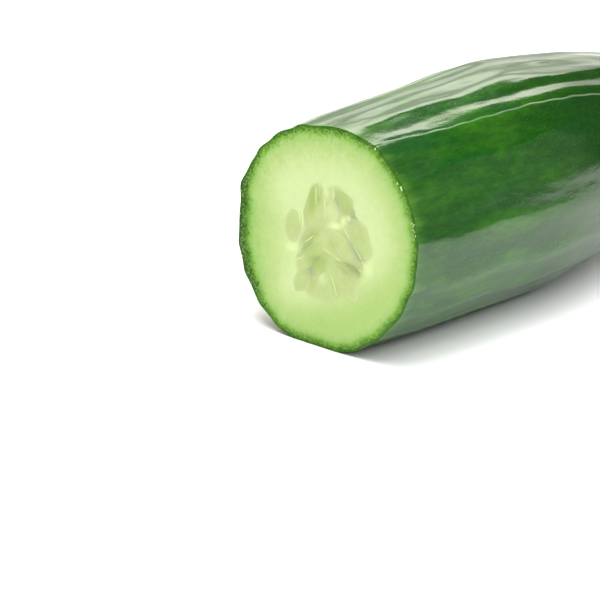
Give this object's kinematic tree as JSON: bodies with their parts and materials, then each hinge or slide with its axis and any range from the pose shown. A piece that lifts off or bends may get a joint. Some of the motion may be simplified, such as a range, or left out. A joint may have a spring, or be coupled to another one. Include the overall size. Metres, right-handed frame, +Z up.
{
  "type": "cut half cucumber",
  "caption": "Half a slicing cucumber lying on its side, with a flat cut face that shows flesh and seeds, lengthwise ribs in the skin and a short dry stem stub.",
  "frame": {"origin": "middle of the footprint's box, on the surface that the cucumber lies on", "axes": "+X runs along the body from the cut face to the stem stub, +Z is up, and the viewer of the cut face stands towards -X and -Y"},
  "size_m": [0.1546, 0.0506, 0.049],
  "materials": {
    "skin": "gloss",
    "flesh": "gloss",
    "seed": "gloss",
    "stem": "matte"
  },
  "bodies": {
    "root": {"cucumber": "skin"}
  },
  "joints": []
}
